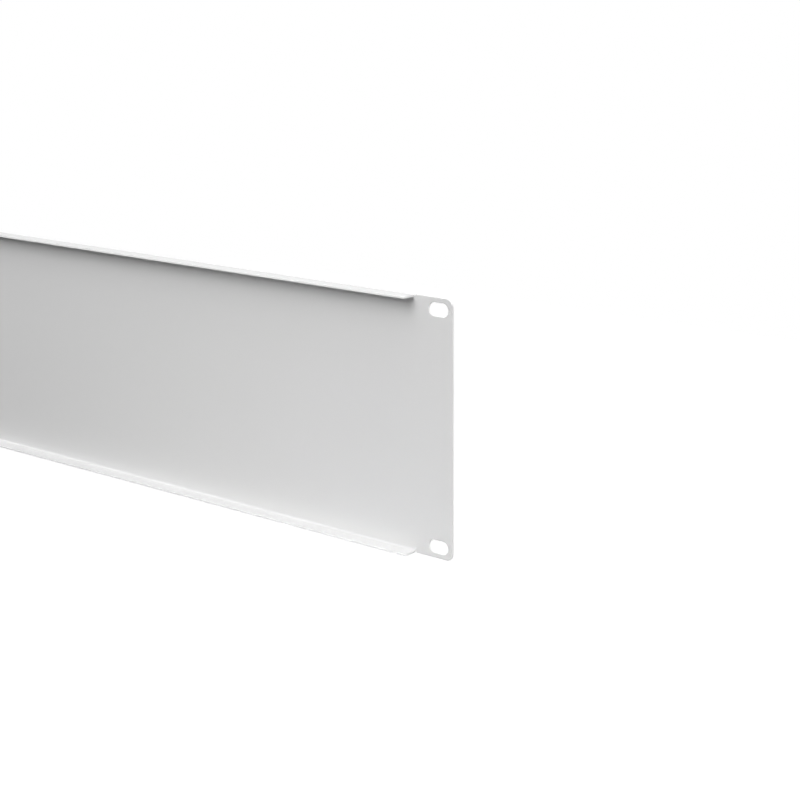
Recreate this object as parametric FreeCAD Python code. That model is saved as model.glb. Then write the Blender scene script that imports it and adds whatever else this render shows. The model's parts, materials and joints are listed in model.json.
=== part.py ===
import FreeCAD
import Part
import os

# A blanking panel for a 19-inch rack, three units high: one steel sheet, cut flat,
# with its top and bottom edges folded back 90 degrees between two flat ears.
# Millimetres, +Z up, X along the panel. The ears seat on the rack's rails in the
# plane Y = 0, the plain front looks towards -Y and the flanges run back to +Y.
# The origin is the middle of the four mounting slots, on that seating plane.

# ---- driving dimensions -------------------------------------------------------

panel_width = 482.6          # overall, the 19-inch standard
unit_height = 44.45          # one rack unit
unit_count = 3               # rack units that the panel covers
height_clearance = 0.8       # by which the panel is lower than its units
sheet = 1.2                  # sheet thickness
flange_depth = 9.2           # outside, from the front face to the flange's free edge
bend_inner_radius = 1.2      # on the hollow side of each fold
ear_width = 23.3             # flat end on each side, from the relief gap outwards

slot_end_inset = 8.75        # from each end of the panel to its slots' centres
slot_edge_inset = 5.95       # from the top or bottom of the panel to its slots' centres
slot_length = 12.0           # end to end, along the panel
slot_height = 6.8            # clears an M6 screw

ear_corner_radius = 4.0      # outer corners of the ears
flange_corner_radius = 0.8   # free corners of the flanges
relief_width = 0.3           # cut gap between an ear and the end of a fold
relief_overrun = 0.4         # by which the gap runs past the fold's tangent line
edge_chamfer = 0.2           # deburred outline edges

# ---- derived sizes ------------------------------------------------------------

panel_height = unit_count * unit_height - height_clearance
half_width = panel_width / 2
half_height = panel_height / 2
front_y = -sheet                                  # plain front face
rear_y = 0.0                                      # seating face of the ears
bend_outer_radius = bend_inner_radius + sheet
bend_centre_y = front_y + bend_outer_radius
bend_centre_z = half_height - bend_outer_radius   # also the fold's tangent line
flange_tip_y = front_y + flange_depth
ear_start_x = half_width - ear_width
flange_end_x = ear_start_x - relief_width
slot_x = half_width - slot_end_inset                # 465.1 from column to column
slot_z = half_height - slot_edge_inset              # 120.65 from row to row
edge_break = min(edge_chamfer, 0.3 * sheet)       # a thin sheet limits its chamfers
through = 5 * sheet                               # cutters stand out of the sheet by this


# ---- helpers ------------------------------------------------------------------

def vec(x, y, z):
    return FreeCAD.Vector(x, y, z)


def line(start, end):
    return Part.LineSegment(start, end).toShape()


def arc(centre, radius, start_dir, end_dir):
    """Quarter arc about centre, from unit direction start_dir to end_dir."""
    middle = (start_dir + end_dir).normalize()
    points = [centre + d * radius for d in (start_dir, middle, end_dir)]
    return Part.Arc(*points).toShape()


def prism(edges, travel):
    return Part.Face(Part.Wire(edges)).extrude(travel)


def box(x_range, y_range, z_range):
    low = vec(x_range[0], y_range[0], z_range[0])
    return Part.makeBox(x_range[1] - low.x, y_range[1] - low.y, z_range[1] - low.z, low)


def runs_along(edge, axis):
    """True for a straight edge parallel to this axis."""
    return isinstance(edge.Curve, Part.Line) and abs(edge.Curve.Direction.dot(axis)) > 0.5


def mirrored(shape, normal):
    """The shape reflected in the plane through the origin with this normal."""
    return shape.mirror(vec(0, 0, 0), normal)


def in_each_quarter(shape):
    """The shape at +X, +Z and its reflections in the other three quarters."""
    pair = [shape, mirrored(shape, vec(1, 0, 0))]
    return pair + [mirrored(each, vec(0, 0, 1)) for each in pair]


# ---- flat sheet: web and ears -------------------------------------------------

def flat_plate():
    """Full outline of the panel at sheet thickness, with the ears' corners rounded."""
    plate = box((-half_width, half_width), (front_y, rear_y), (-half_height, half_height))
    corners = [e for e in plate.Edges if runs_along(e, vec(0, 1, 0))]
    return plate.makeFillet(ear_corner_radius, corners)


def fold_clearance():
    """Room taken out of the flat plate above the upper fold's tangent line."""
    return box((-flange_end_x, flange_end_x),
               (front_y - through, rear_y + through),
               (bend_centre_z, half_height + through))


# ---- folded flange ------------------------------------------------------------

def flange_profile():
    """Section of the upper fold and flange, from the tangent line to the free edge."""
    centre = vec(-flange_end_x, bend_centre_y, bend_centre_z)
    forward, up = vec(0, -1, 0), vec(0, 0, 1)
    to_tip = vec(0, flange_tip_y - bend_centre_y, 0)
    outer_start, outer_end = (centre + d * bend_outer_radius for d in (forward, up))
    inner_start, inner_end = (centre + d * bend_inner_radius for d in (forward, up))
    return [arc(centre, bend_outer_radius, forward, up),
            line(outer_end, outer_end + to_tip),
            line(outer_end + to_tip, inner_end + to_tip),
            line(inner_end + to_tip, inner_end),
            arc(centre, bend_inner_radius, up, forward),
            line(inner_start, outer_start)]


def upper_flange():
    """Fold and flange along the panel between the ears, free corners rounded."""
    flange = prism(flange_profile(), vec(2 * flange_end_x, 0, 0))
    corners = [e for e in flange.Edges if runs_along(e, vec(0, 0, 1))]
    return flange.makeFillet(flange_corner_radius, corners)


# ---- cuts ---------------------------------------------------------------------

def slot_cutter():
    """Round-ended mounting slot at the upper right, through the ear."""
    radius = slot_height / 2
    reach = slot_length / 2 - radius
    left = vec(slot_x - reach, front_y - through, slot_z)
    right = vec(slot_x + reach, front_y - through, slot_z)
    up = vec(0, 0, radius)
    edges = [line(left + up, right + up),
             Part.Arc(right + up, right + vec(radius, 0, 0), right - up).toShape(),
             line(right - up, left - up),
             Part.Arc(left - up, left - vec(radius, 0, 0), left + up).toShape()]
    return prism(edges, vec(0, sheet + 2 * through, 0))


def relief_cutter():
    """Gap that parts the upper right end of the fold from its ear."""
    return box((flange_end_x, ear_start_x),
               (front_y - through, rear_y + through),
               (bend_centre_z - relief_overrun, half_height + through))


# ---- edge break ---------------------------------------------------------------

def outward_normal(face, point):
    u, v = face.Surface.parameter(point)
    return face.normalAt(u, v)


def is_outer_corner(edge, solid):
    """True where two faces meet at 90 degrees with the material inside the corner."""
    point = edge.valueAt((edge.FirstParameter + edge.LastParameter) / 2)
    first, second = (outward_normal(face, point)
                     for face in solid.ancestorsOfType(edge, Part.Face))
    if abs(first.dot(second)) > 0.01:
        return False
    step = edge_break / 4
    beside = (point + (first - second) * step, point + (second - first) * step)
    return not any(solid.isInside(probe, 1e-6, False) for probe in beside)


def edges_broken(solid):
    """Every outline edge of the sheet, on both skins, taken down by a small chamfer."""
    return solid.makeChamfer(edge_break, [e for e in solid.Edges if is_outer_corner(e, solid)])


# ---- the panel ----------------------------------------------------------------

def build_panel():
    up = vec(0, 0, 1)
    clearance = fold_clearance()
    flange = upper_flange()
    body = flat_plate().cut([clearance, mirrored(clearance, up)])
    body = body.fuse([flange, mirrored(flange, up)])
    body = body.cut(in_each_quarter(relief_cutter()) + in_each_quarter(slot_cutter()))
    return edges_broken(body.removeSplitter().Solids[0])


os.makedirs("parts", exist_ok=True)
build_panel().exportStep(os.path.join("parts", "panel.step"))
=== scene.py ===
import json
import logging
import math
from dataclasses import dataclass
from enum import Enum
from typing import Any

import bpy
import numpy as np
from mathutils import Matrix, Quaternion, Vector
from mathutils.geometry import delaunay_2d_cdt

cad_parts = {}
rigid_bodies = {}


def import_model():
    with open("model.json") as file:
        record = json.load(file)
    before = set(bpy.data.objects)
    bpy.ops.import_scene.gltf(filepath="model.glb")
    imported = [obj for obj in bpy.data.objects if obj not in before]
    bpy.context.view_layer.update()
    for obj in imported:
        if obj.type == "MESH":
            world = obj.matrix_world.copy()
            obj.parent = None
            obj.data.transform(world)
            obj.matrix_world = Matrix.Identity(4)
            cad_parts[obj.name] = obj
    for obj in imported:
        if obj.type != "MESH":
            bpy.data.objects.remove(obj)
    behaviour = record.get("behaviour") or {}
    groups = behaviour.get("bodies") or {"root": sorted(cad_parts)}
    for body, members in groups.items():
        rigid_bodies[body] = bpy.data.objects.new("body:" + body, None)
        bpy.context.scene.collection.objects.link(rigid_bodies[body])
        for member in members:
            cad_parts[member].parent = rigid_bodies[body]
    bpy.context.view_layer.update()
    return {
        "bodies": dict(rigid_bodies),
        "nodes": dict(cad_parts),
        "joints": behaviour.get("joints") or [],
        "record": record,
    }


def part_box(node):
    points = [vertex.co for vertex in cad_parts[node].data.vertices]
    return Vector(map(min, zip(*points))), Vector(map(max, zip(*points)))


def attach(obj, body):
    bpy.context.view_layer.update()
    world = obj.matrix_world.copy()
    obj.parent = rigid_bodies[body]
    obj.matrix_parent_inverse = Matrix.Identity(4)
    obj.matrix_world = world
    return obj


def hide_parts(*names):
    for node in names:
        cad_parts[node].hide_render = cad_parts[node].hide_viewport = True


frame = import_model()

Array = np.ndarray
MM = 0.001
log = logging.getLogger("blanking_panel")


# ---- shader graph ---------------------------------------------------------------


class Wire:
    """A node output that takes part in Python arithmetic.

    Each operator adds one Math node to the graph that the output belongs to.
    """

    def __init__(self, graph: "Graph", socket: bpy.types.NodeSocket) -> None:
        self.graph = graph
        self.socket = socket

    def _math(self, operation: str, *terms: Any) -> "Wire":
        """Adds a Math node on these terms and returns its output."""
        return self.graph.node("ShaderNodeMath", {"operation": operation}, dict(enumerate(terms)))

    def __add__(self, other: Any) -> "Wire":
        return self._math("ADD", self, other)

    __radd__ = __add__

    def __sub__(self, other: Any) -> "Wire":
        return self._math("SUBTRACT", self, other)

    def __rsub__(self, other: Any) -> "Wire":
        return self._math("SUBTRACT", other, self)

    def __mul__(self, other: Any) -> "Wire":
        return self._math("MULTIPLY", self, other)

    __rmul__ = __mul__

    def larger_of(self, other: Any) -> "Wire":
        """The larger of this value and another."""
        return self._math("MAXIMUM", self, other)


class Graph:
    """One material's or world's node tree, filled node by node."""

    def __init__(self, tree: bpy.types.NodeTree) -> None:
        tree.nodes.clear()
        self.tree = tree

    def node(
        self,
        kind: str,
        settings: dict[str, Any] | None = None,
        inputs: dict[str | int, Any] | None = None,
        output: str | int = 0,
    ) -> Wire:
        """Adds a node of any kind.

        Args:
            kind: Blender's name of the node type.
            settings: The node's own properties, set before its sockets.
            inputs: Value or Wire for each socket, by name or number.
            output: Name or number of the output to hand back.

        Returns:
            The chosen output as a Wire.
        """
        made = self.tree.nodes.new(kind)
        for name, value in (settings or {}).items():
            setattr(made, name, value)
        for key, value in (inputs or {}).items():
            if isinstance(value, Wire):
                self.tree.links.new(value.socket, made.inputs[key])
            else:
                made.inputs[key].default_value = value
        if not made.outputs:
            return Wire(self, None)
        return Wire(self, made.outputs[output])

    def blend_colors(self, factor: Wire, first: Any, second: Any) -> Wire:
        """Colour that runs from the first to the second as factor goes from 0 to 1."""
        return self.node(
            "ShaderNodeMix",
            {"data_type": "RGBA"},
            {0: factor, 6: first, 7: second},
            output=2,
        )


def grey(level: float) -> tuple[float, float, float, float]:
    """Neutral colour of this linear level."""
    return (level, level, level, 1.0)


def new_material(name: str) -> tuple[bpy.types.Material, Graph]:
    """Makes an empty node material.

    Args:
        name: The material's name.

    Returns:
        The material and its empty graph.
    """
    material = bpy.data.materials.new(name)
    material.use_nodes = True
    return material, Graph(material.node_tree)


# ---- finish ---------------------------------------------------------------------


@dataclass(frozen=True)
class PowderCoat:
    """Light grey satin powder coat with a fine orange peel, and a painted highlight on its cut
    edges.

    Attributes:
        shade: Linear reflectance of the coat on the flat faces.
        shade_drift: Reach of the slow change of shade over the sheet.
        cloud_pitch: Width in metres of the slow change's large patches.
        mottle_pitch: Width in metres of its small patches.
        cloud_share: Part of the change that the large patches make.
        painted_edge_highlight: Linear shade painted on the cut edges, lighter than the faces, as
            a painted edge highlight.
        roughness: Mean roughness of the satin surface.
        roughness_drift: Reach of its change over the sheet.
        peel_pitch: Width in metres of one bump of the orange peel.
        peel_height: Its height in metres.
        grain_pitch: Width in metres of one grain of powder.
        grain_height: Its height in metres.
    """

    shade: float = 0.69
    shade_drift: float = 0.012
    cloud_pitch: float = 60 * MM
    mottle_pitch: float = 5 * MM
    cloud_share: float = 0.7
    # Painted highlight: the cut edges are coloured lighter than the faces.
    painted_edge_highlight: float = 0.90
    roughness: float = 0.60
    roughness_drift: float = 0.08
    peel_pitch: float = 1.1 * MM
    peel_height: float = 0.006 * MM
    grain_pitch: float = 0.22 * MM
    grain_height: float = 0.002 * MM

    def noise(self, graph: Graph, place: Wire, pitch: float, detail: float) -> Wire:
        """Noise between 0 and 1 whose bumps are pitch wide."""
        return graph.node(
            "ShaderNodeTexNoise",
            inputs={"Vector": place, "Scale": 1 / pitch, "Detail": detail, "Roughness": 0.5},
        )

    def material(self) -> bpy.types.Material:
        """Builds the coat's material on Object coordinates and the rim attribute."""
        material, graph = new_material("powder_coat")
        place = graph.node("ShaderNodeTexCoord", output="Object")
        rim = graph.node("ShaderNodeAttribute", {"attribute_name": "rim"}, output="Fac")
        cloud = self.noise(graph, place, self.cloud_pitch, 2.0)
        mottle = self.noise(graph, place, self.mottle_pitch, 3.0)
        peel = self.noise(graph, place, self.peel_pitch, 1.0)
        grain = self.noise(graph, place, self.grain_pitch, 1.0)

        mix = cloud * self.cloud_share + mottle * (1 - self.cloud_share)
        drift = mix * 2 - 1
        face = graph.blend_colors(
            mix,
            grey(self.shade - self.shade_drift),
            grey(self.shade + self.shade_drift),
        )
        # Painted edge highlight: the colour runs to a lighter grey across the cut edges.
        color = graph.blend_colors(rim * rim, face, grey(self.painted_edge_highlight))
        relief = peel * self.peel_height + grain * self.grain_height
        bump = graph.node(
            "ShaderNodeBump", inputs={"Strength": 1.0, "Distance": 1.0, "Height": relief}
        )
        surface = graph.node(
            "ShaderNodeBsdfPrincipled",
            inputs={
                "Base Color": color,
                "Roughness": drift * self.roughness_drift + self.roughness,
                "Normal": bump,
                "IOR": 1.5,
            },
        )
        graph.node("ShaderNodeOutputMaterial", inputs={"Surface": surface})
        return material


# ---- the folded sheet -----------------------------------------------------------


class Skin(Enum):
    """The sheet's two faces, by the sign of their offset from its middle."""

    FRONT = -1
    REAR = 1


@dataclass(frozen=True)
class SheetSizes:
    """Sizes of the panel in metres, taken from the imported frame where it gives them.

    Attributes:
        half_width: Half the panel's width.
        half_height: Half the panel's height.
        front: Y of the plain front face.
        tip: Y of the flanges' free edges.
        bend_radius: Radius on the hollow side of each fold.
        ear_width: Flat length at each end, from the relief gap outwards.
        ear_corner: Corner radius of the ears.
        flange_corner: Radius of the flanges' free corners.
        relief_width: Width of the gap between an ear and a fold.
        relief_overrun: By how much the gap runs past the fold's tangent line.
        gap_corner: Radius at the bottom of the relief gap.
        mouth_corner: Radius where the gap opens at the ear's edge.
        edge_radius: Rounding of every cut edge, coat included.
        slot_x: Distance of the slots' centres from the middle, along the panel.
        slot_z: Their distance from the middle, up or down.
        slot_radius: Radius of the slots' round ends.
        slot_length: Length of a slot from end to end.
    """

    half_width: float
    half_height: float
    front: float
    tip: float
    slot_x: float
    slot_z: float
    slot_radius: float
    slot_length: float
    bend_radius: float = 1.2 * MM
    ear_width: float = 23.3 * MM
    ear_corner: float = 4.0 * MM
    flange_corner: float = 2.0 * MM
    relief_width: float = 0.3 * MM
    relief_overrun: float = 0.4 * MM
    gap_corner: float = 0.1 * MM
    mouth_corner: float = 0.3 * MM
    edge_radius: float = 0.25 * MM

    @classmethod
    def from_frame(cls, packed: dict[str, Any]) -> "SheetSizes":
        """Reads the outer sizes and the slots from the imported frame.


        Returns:
            The panel's sizes.
        """
        low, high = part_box("panel")
        slots = next(m for m in packed["record"]["mounts"] if m["name"] == "rack_slots")["dims"]
        return cls(
            half_width=(high.x - low.x) / 2,
            half_height=(high.z - low.z) / 2,
            front=low.y,
            tip=high.y,
            slot_x=slots["spacing_x_mm"] * MM / 2,
            slot_z=slots["spacing_y_mm"] * MM / 2,
            slot_radius=slots["hole_r_mm"] * MM,
            slot_length=slots["slot_length_mm"] * MM,
        )

    @property
    def thickness(self) -> float:
        """The rear face is the plane Y = 0, so the front face gives the thickness."""
        return -self.front

    @property
    def mid_radius(self) -> float:
        """Bend radius of the sheet's middle surface."""
        return self.bend_radius + self.thickness / 2

    @property
    def fold_line(self) -> float:
        """Height at which the flat web ends and the fold begins."""
        return self.half_height - self.bend_radius - self.thickness

    @property
    def fold_length(self) -> float:
        """Length of a fold along the sheet's middle surface."""
        return self.mid_radius * math.pi / 2

    @property
    def flat_reach(self) -> float:
        """Distance from the middle to the flange's free edge, with the fold laid flat."""
        return self.fold_line + self.fold_length + self.tip - self.bend_radius

    @property
    def ear_start(self) -> float:
        """X of the ear's side of the relief gap."""
        return self.half_width - self.ear_width

    @property
    def flange_end(self) -> float:
        """X of the flanges' ends."""
        return self.ear_start - self.relief_width


@dataclass(frozen=True)
class Loop:
    """A closed outline in the flat sheet.

    Attributes:
        points: One (x, s) row per point, with the sheet on the left of the way round.
        outward: Unit vector per point that leaves the sheet.
    """

    points: Array
    outward: Array

    def inset(self, distance: float) -> Array:
        """The points moved into the sheet by this distance."""
        return self.points - self.outward * distance


@dataclass(frozen=True)
class FlatBlank:
    """The sheet before folding, in coordinates x along the panel and s across it.

    Attributes:
        sizes: The panel's sizes.
    """

    sizes: SheetSizes

    ARC_STEPS = 12
    SLOT_STEPS = 48
    FOLD_STEPS = 16
    FLANGE_ROWS = 3
    COLUMNS = 72
    WEB_ROWS = 22
    SHORTEST_STEP = 0.05 * MM
    MERGE_DISTANCE = 1e-5 * MM

    def corners(self) -> Array:
        """Rows of (x, s, radius) round the blank, every corner square before rounding.

        One quarter is listed. The other three are its reflections, taken in the order
        that keeps the sheet on the left.
        """
        z = self.sizes
        gap_bottom = z.fold_line - z.relief_overrun
        quarter = np.array(
            [
                (z.half_width, z.half_height, z.ear_corner),
                (z.ear_start, z.half_height, z.mouth_corner),
                (z.ear_start, gap_bottom, z.gap_corner),
                (z.flange_end, gap_bottom, z.gap_corner),
                (z.flange_end, z.flat_reach, z.flange_corner),
            ]
        )
        upper = np.concatenate([quarter, quarter[::-1] * (-1, 1, 1)])
        return np.concatenate([upper, upper[::-1] * (1, -1, 1)])

    def rows(self) -> Array:
        """Heights s of the mesh's rows: even on the web, and even in angle on the folds."""
        z = self.sizes
        web = np.linspace(-z.fold_line, z.fold_line, self.WEB_ROWS)
        fold = z.fold_line + z.fold_length * np.linspace(0, 1, self.FOLD_STEPS + 1)[1:]
        rest = np.linspace(fold[-1], z.flat_reach - z.edge_radius, self.FLANGE_ROWS + 2)[1:-1]
        side = np.concatenate([fold, rest])
        return np.concatenate([-side[::-1], web, side])

    def columns(self) -> Array:
        """Places x of the mesh's columns between the flanges' ends, which are left out."""
        reach = self.sizes.flange_end - self.sizes.edge_radius
        return np.linspace(-reach, reach, self.COLUMNS + 1)[1:-1]

    def outline(self) -> Loop:
        """Outer outline of the blank.

        A corner c between directions d1 and d2 is the arc
        c + r (d2 - d1) + r (d1 sin a - d2 cos a) for a from 0 to a right angle, whose
        direction is d1 cos a + d2 sin a. Straight runs gain a point wherever a row or a
        column of the mesh meets them.
        """
        table = self.corners()
        corner, radius = table[:, :2], table[:, 2:]
        step = np.roll(corner, -1, axis=0) - corner
        leaving = step / np.linalg.norm(step, axis=1, keepdims=True)
        coming = np.roll(leaving, 1, axis=0)
        a = np.linspace(0, math.pi / 2, self.ARC_STEPS + 1)[None, :, None]
        centre = (corner + radius * (leaving - coming))[:, None, :]
        d1, d2, r = coming[:, None, :], leaving[:, None, :], radius[:, None, :]
        arcs = centre + r * (d1 * np.sin(a) - d2 * np.cos(a))
        along = d1 * np.cos(a) + d2 * np.sin(a)
        runs = [
            self._run(arcs[i, -1], arcs[(i + 1) % len(arcs), 0]) for i in range(len(arcs))
        ]
        points = np.concatenate([np.concatenate([arc, run]) for arc, run in zip(arcs, runs)])
        ways = np.concatenate(
            [
                np.concatenate([way, np.repeat(way[-1:], len(run), axis=0)])
                for way, run in zip(along, runs)
            ]
        )
        return Loop(points, np.stack([ways[:, 1], -ways[:, 0]], axis=1))

    def _run(self, start: Array, end: Array) -> Array:
        """Points strictly between two ends of a straight run, on the mesh's rows or columns."""
        axis = 0 if abs(end[0] - start[0]) > abs(end[1] - start[1]) else 1
        stops = self.columns() if axis == 0 else self.rows()
        low, high = sorted((start[axis], end[axis]))
        clear = self.SHORTEST_STEP
        inside = stops[(stops > low + clear) & (stops < high - clear)]
        inside = inside if end[axis] > start[axis] else inside[::-1]
        points = np.repeat(start[None, :], len(inside), axis=0)
        points[:, axis] = inside
        return points

    def slot(self, centre: tuple[float, float]) -> Loop:
        """Round-ended slot: two half circles, so that their ends make the straight sides.

        Args:
            centre: (x, s) of the slot's middle.

        Returns:
            The slot's outline, with the sheet on the left of the way round.
        """
        z = self.sizes
        reach = z.slot_length / 2 - z.slot_radius
        angle = np.linspace(math.pi / 2, -math.pi / 2, self.SLOT_STEPS + 1)
        right = np.stack([np.cos(angle), np.sin(angle)], axis=1)
        spokes = np.concatenate([right, -right])
        shift = np.concatenate([np.full(len(right), reach), np.full(len(right), -reach)])
        points = spokes * z.slot_radius + np.stack([shift, 0 * shift], axis=1) + centre
        return Loop(points, -spokes)

    def slots(self) -> list[Loop]:
        """The four mounting slots."""
        z = self.sizes
        return [self.slot((i * z.slot_x, j * z.slot_z)) for i in (-1, 1) for j in (-1, 1)]

    def fill(self, loops: list[Loop]) -> tuple[Array, Array]:
        """Triangles of a flat face, inside the outline and outside the slots.

        Args:
            loops: The outline first and then the slots, all inset by the edge radius.

        Returns:
            (x, s) of the points, the loops' own first and in order, and the triangles.
        """
        z = self.sizes
        borders = [loop.inset(z.edge_radius) for loop in loops]
        x, s = np.meshgrid(self.columns(), self.rows())
        grid = np.stack([x.ravel(), s.ravel()], axis=1)
        points = np.concatenate(borders + [grid])
        starts = np.cumsum([0] + [len(b) for b in borders])
        edges = [
            (first + i, first + (i + 1) % len(border))
            for first, border in zip(starts, borders)
            for i in range(len(border))
        ]
        placed, _, faces, origin, _, _ = delaunay_2d_cdt(
            (points / MM).tolist(), edges, [], 1, self.MERGE_DISTANCE / MM
        )
        if len(placed) != len(points):
            raise ValueError("the flat face's triangulation merged or added points")
        order = np.array([first[0] for first in origin])
        triangles = order[np.array(faces)]
        middle = points[triangles].mean(axis=1)
        return points, triangles[~self._in_a_slot(middle)]

    def _in_a_slot(self, points: Array) -> Array:
        """True where a point lies nearer a slot's middle line than the slot's radius."""
        z = self.sizes
        across = np.abs(np.abs(points[:, 0]) - z.slot_x)
        past = np.maximum(across - (z.slot_length / 2 - z.slot_radius), 0)
        return np.hypot(past, np.abs(points[:, 1]) - z.slot_z) < z.slot_radius + z.edge_radius


@dataclass(frozen=True)
class SheetPoints:
    """Points of the flat sheet with their normals, as whole arrays.

    Attributes:
        x: Place along the panel.
        s: Place across the flat sheet.
        n: Offset from the middle surface, towards the rear.
        normal: One (x, s, n) unit normal per point.
        rim: 0 on the faces and 1 on the cut edges.
    """

    x: Array
    s: Array
    n: Array
    normal: Array
    rim: Array

    @classmethod
    def joined(cls, parts: list["SheetPoints"]) -> "SheetPoints":
        """One set of points out of several, in order."""
        names = ("x", "s", "n", "normal", "rim")
        return cls(*(np.concatenate([getattr(part, name) for part in parts]) for name in names))


@dataclass(frozen=True)
class FoldedPanel:
    """The panel: web, ears, folds and flanges as one closed coated sheet.

    Attributes:
        sizes: The panel's sizes.
        finish: What the sheet is coated with.
    """

    sizes: SheetSizes
    finish: PowderCoat

    EDGE_STEPS = 6

    @property
    def blank(self) -> FlatBlank:
        """The same sheet before folding."""
        return FlatBlank(self.sizes)

    def fold(self, flat: SheetPoints) -> tuple[Array, Array]:
        """Bends the flat sheet at its fold lines.

        With a the way past the fold line and q = a / fold length times a right angle,
        held between 0 and a right angle, a point at offset n turns on the radius
        R = mid radius - n about the fold's centre: y = centre - R cos q and
        z = fold line + R sin q. What is past the fold goes straight on along +Y.
        Ears, which lie beyond the relief gaps, stay flat. The lower half is the
        upper one with z reversed.

        Args:
            flat: Points of the flat sheet.

        Returns:
            Places and unit normals in the panel's frame.
        """
        z = self.sizes
        folds = np.abs(flat.x) < z.flange_end + z.relief_width / 4
        side = np.where(flat.s < 0, -1.0, 1.0)
        past = np.where(folds, np.abs(flat.s) - z.fold_line, -1.0)
        turn = np.clip(past / z.fold_length, 0, 1) * math.pi / 2
        flange = np.maximum(past - z.fold_length, 0)
        web = np.where(past > 0, z.fold_line, np.abs(flat.s))
        radius = z.mid_radius - flat.n
        sin, cos = np.sin(turn), np.cos(turn)
        place = np.stack(
            [flat.x, z.bend_radius - radius * cos + flange, side * (web + radius * sin)], axis=1
        )
        nx, ns, nn = flat.normal.T
        ns = ns * side
        normal = np.stack([nx, ns * sin + nn * cos, side * (ns * cos - nn * sin)], axis=1)
        return place, normal

    def skins(self, plane: Array) -> list[SheetPoints]:
        """The rear face's points and then the front face's, over the same (x, s)."""
        half, none = self.sizes.thickness / 2, np.zeros(len(plane))
        return [
            SheetPoints(
                x=plane[:, 0],
                s=plane[:, 1],
                n=none + skin.value * half,
                normal=np.stack([none, none, none + skin.value], axis=1),
                rim=none,
            )
            for skin in (Skin.REAR, Skin.FRONT)
        ]

    def rim_rings(self, loop: Loop) -> SheetPoints:
        """The cut edge round one loop: a quarter round, the wall and a quarter round.

        On the rear side, at angle p from the face, the point lies edge radius times
        (1 - sin p) inside the outline and edge radius times (1 - cos p) below the
        face, and its normal is outward sin p + face normal cos p. The front side is
        the same with the offset reversed. The faces' own borders are p = 0, so the
        rings start one step after it.
        """
        z = self.sizes
        p = np.linspace(0, math.pi / 2, self.EDGE_STEPS + 1)[1:]
        sin, cos = np.sin(p), np.cos(p)
        depth = np.concatenate([1 - sin, (1 - sin)[::-1]]) * z.edge_radius
        rise = z.thickness / 2 - z.edge_radius * (1 - cos)
        offset = np.concatenate([rise, -rise[::-1]])
        across = np.concatenate([sin, sin[::-1]])
        upright = np.concatenate([cos, -cos[::-1]])
        place = loop.points[None] - loop.outward[None] * depth[:, None, None]
        shape = place.shape[:2]
        normal = np.empty((*shape, 3))
        normal[..., :2] = loop.outward[None] * across[:, None, None]
        normal[..., 2] = upright[:, None]
        return SheetPoints(
            x=place[..., 0].ravel(),
            s=place[..., 1].ravel(),
            n=np.repeat(offset, shape[1]),
            normal=normal.reshape(-1, 3),
            rim=np.repeat(across, shape[1]),
        )

    def closed_sheet(self) -> tuple[SheetPoints, list[list[int]]]:
        """Both faces and every cut edge, sharing the points where they meet.

        Returns:
            The flat sheet's points, and the point numbers of each polygon.
        """
        loops = [self.blank.outline(), *self.blank.slots()]
        plane, triangles = self.blank.fill(loops)
        parts = self.skins(plane)
        polygons = triangles[:, ::-1].tolist() + (triangles + len(plane)).tolist()
        border, made = 0, 2 * len(plane)
        for loop in loops:
            parts.append(self.rim_rings(loop))
            count = len(loop.points)
            rear = border + np.arange(count)
            new = made + np.arange(len(parts[-1].x)).reshape(-1, count)
            rings = np.concatenate([rear[None], new, (rear + len(plane))[None]])
            turned = np.roll(rings, -1, axis=1)
            quads = np.stack([rings[:-1], turned[:-1], turned[1:], rings[1:]], axis=-1)
            polygons += quads.reshape(-1, 4).tolist()
            border, made = border + count, made + new.size
        return SheetPoints.joined(parts), polygons

    def build(self) -> bpy.types.Object:
        """Makes the folded, coated sheet, which stands for the plain CAD node."""
        flat, polygons = self.closed_sheet()
        place, normal = self.fold(flat)
        mesh = bpy.data.meshes.new("coated_panel")
        mesh.from_pydata(place, [], polygons, shade_flat=False)
        mesh.attributes.new("rim", "FLOAT", "POINT").data.foreach_set("value", flat.rim)
        mesh.normals_split_custom_set_from_vertices(normal)
        piece = bpy.data.objects.new("coated_panel", mesh)
        bpy.context.scene.collection.objects.link(piece)
        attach(piece, "root")
        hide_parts("panel")
        log.info("panel: %d points, %d faces", len(mesh.vertices), len(mesh.polygons))
        return piece

    def dress(self, piece: bpy.types.Object) -> None:
        """Gives the sheet its powder coat."""
        piece.data.materials.append(self.finish.material())
        log.info("finish: %s", self.finish)


# ---- studio ---------------------------------------------------------------------


def unit_toward(azimuth: float, elevation: float) -> Vector:
    """Direction from the middle to a place round it, with azimuth 0 in front, at -Y."""
    a, e = math.radians(azimuth), math.radians(elevation)
    return Vector((math.sin(a) * math.cos(e), -math.cos(a) * math.cos(e), math.sin(e)))


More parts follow.
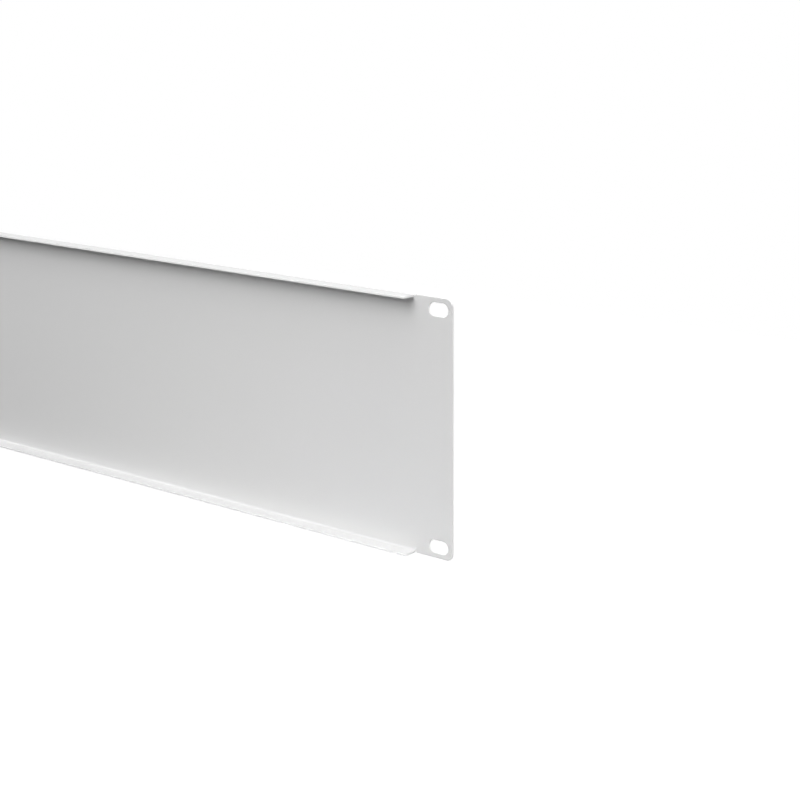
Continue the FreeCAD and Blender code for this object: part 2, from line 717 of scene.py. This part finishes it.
@dataclass(frozen=True)
class Viewpoint:
    """Where the camera stands.

    Attributes:
        target: Point on the panel's rear plane that the camera looks at.
        azimuth: Way round the panel in degrees.
        elevation: Height above the horizon in degrees.
        roll: Turn about the line of sight in degrees.
        distance: From the target, in metres.
        lens: Focal length in millimetres.
        sensor: Width of the sensor in millimetres.
    """

    target: tuple[float, float, float] = (-208.181 * MM, 0.0, 11.666 * MM)
    azimuth: float = 219.869
    elevation: float = 14.311
    roll: float = -0.375
    distance: float = 886.14 * MM
    lens: float = 80.23
    sensor: float = 36.0

    def build(self) -> None:
        """Makes the camera and hands it to the scene."""
        data = bpy.data.cameras.new("camera")
        data.lens, data.sensor_width = self.lens, self.sensor
        data.clip_start, data.clip_end = 0.01, 50.0
        camera = bpy.data.objects.new("camera", data)
        back = unit_toward(self.azimuth, self.elevation)
        turn = back.to_track_quat("Z", "Y") @ Quaternion((0, 0, 1), math.radians(self.roll))
        camera.rotation_mode = "QUATERNION"
        camera.rotation_quaternion = turn
        camera.location = Vector(self.target) + back * self.distance
        bpy.context.scene.collection.objects.link(camera)
        bpy.context.scene.camera = camera
        log.info("camera: %.1f mm lens, %.3f m away", self.lens, self.distance)


@dataclass(frozen=True)
class Softbox:
    """A soft area lamp that looks at a point.

    Attributes:
        name: The lamp's name.
        azimuth: Way round the panel in degrees.
        elevation: Height above the horizon in degrees.
        distance: From the point it looks at, in metres.
        width: Width of its face in metres.
        height: Height of its face in metres.
        power: Radiant power in watts.
        spread: Angle in degrees to which its grid narrows the light.
        target: Point that it looks at.
    """

    name: str
    azimuth: float
    elevation: float
    distance: float
    width: float
    height: float
    power: float
    spread: float = 180.0
    target: tuple[float, float, float] = (-0.12, 0.0, 0.0)

    def build(self) -> None:
        """Makes the lamp."""
        data = bpy.data.lights.new(self.name, "AREA")
        data.shape, data.size, data.size_y = "RECTANGLE", self.width, self.height
        data.energy, data.spread = self.power, math.radians(self.spread)
        lamp = bpy.data.objects.new(self.name, data)
        away = unit_toward(self.azimuth, self.elevation)
        lamp.location = Vector(self.target) + away * self.distance
        lamp.rotation_mode = "QUATERNION"
        lamp.rotation_quaternion = away.to_track_quat("Z", "Y")
        bpy.context.scene.collection.objects.link(lamp)
        log.info("lamp %s: %.1f W", self.name, self.power)


@dataclass(frozen=True)
class Studio:
    """White studio: a pale floor, an even surround and soft lamps.

    Attributes:
        lamps: The soft lamps.
        surround: Strength of the surround's light on the panel.
        floor_drop: Depth of the floor below the panel's origin.
        floor_size: Side of the square floor.
        floor_shade: Linear reflectance of the floor.
        floor_lift: Emission that keeps the unshaded floor white to the camera.
    """

    lamps: tuple[Softbox, ...] = (
        Softbox("key", 186.0, 42.0, 1.6, 1.4, 1.2, 24.3),
        Softbox("top", 180.0, 80.0, 1.6, 1.0, 1.0, 11.8),
        Softbox("low", 200.0, -12.0, 1.0, 0.3, 0.3, 0.15, 30.0, (-0.30, 0.0, -0.20)),
        Softbox("low_left", 190.0, 0.0, 1.0, 0.3, 0.3, 0.07, 30.0, (-0.10, 0.0, -0.22)),
        Softbox("end", 275.0, 15.0, 1.2, 0.8, 0.8, 5.5),
        Softbox("front", 352.0, 12.0, 1.6, 1.5, 1.0, 21.0),
    )
    surround: float = 0.02
    floor_drop: float = 0.9
    floor_size: float = 8.0
    floor_shade: float = 0.30
    floor_lift: float = 1.0

    @staticmethod
    def seen(graph: Graph) -> Wire:
        """1 for rays from the camera, also by way of gloss or glass, and 0 for the rest."""
        path = [
            graph.node("ShaderNodeLightPath", output=name)
            for name in ("Is Camera Ray", "Is Glossy Ray", "Is Transmission Ray")
        ]
        return path[0].larger_of(path[1]).larger_of(path[2])

    def build_surround(self) -> None:
        """White world to the eye, and an even light of its own strength to the panel."""
        world = bpy.data.worlds.new("surround")
        world.use_nodes = True
        bpy.context.scene.world = world
        graph = Graph(world.node_tree)
        strength = self.seen(graph) * (1 - self.surround) + self.surround
        light = graph.node(
            "ShaderNodeBackground", inputs={"Color": grey(1.0), "Strength": strength}
        )
        graph.node("ShaderNodeOutputWorld", inputs={"Surface": light})

    def build_floor(self) -> None:
        """Pale floor that takes the panel's shadow."""
        half = self.floor_size / 2
        mesh = bpy.data.meshes.new("floor")
        corners = [(-half, -half, 0), (half, -half, 0), (half, half, 0), (-half, half, 0)]
        mesh.from_pydata(corners, [], [(0, 1, 2, 3)])
        floor = bpy.data.objects.new("floor", mesh)
        floor.location.z = -self.floor_drop
        bpy.context.scene.collection.objects.link(floor)
        material, graph = new_material("pale_floor")
        matte = graph.node("ShaderNodeBsdfDiffuse", inputs={"Color": grey(self.floor_shade)})
        lift = graph.node(
            "ShaderNodeEmission", inputs={"Strength": self.seen(graph) * self.floor_lift}
        )
        both = graph.node("ShaderNodeAddShader", inputs={0: matte, 1: lift})
        graph.node("ShaderNodeOutputMaterial", inputs={"Surface": both})
        mesh.materials.append(material)

    def build(self) -> None:
        """Makes floor, surround and lamps."""
        self.build_floor()
        self.build_surround()
        for lamp in self.lamps:
            lamp.build()


# ---- scene ----------------------------------------------------------------------


def main() -> None:
    """Builds the panel, its finish and the studio."""
    logging.basicConfig(level=logging.INFO, format="%(name)s: %(message)s")
    bpy.context.scene.view_settings.view_transform = "Standard"
    Viewpoint().build()
    panel = FoldedPanel(SheetSizes.from_frame(frame), PowderCoat())
    panel.dress(panel.build())
    Studio().build()


if __name__ == "__main__":
    main()
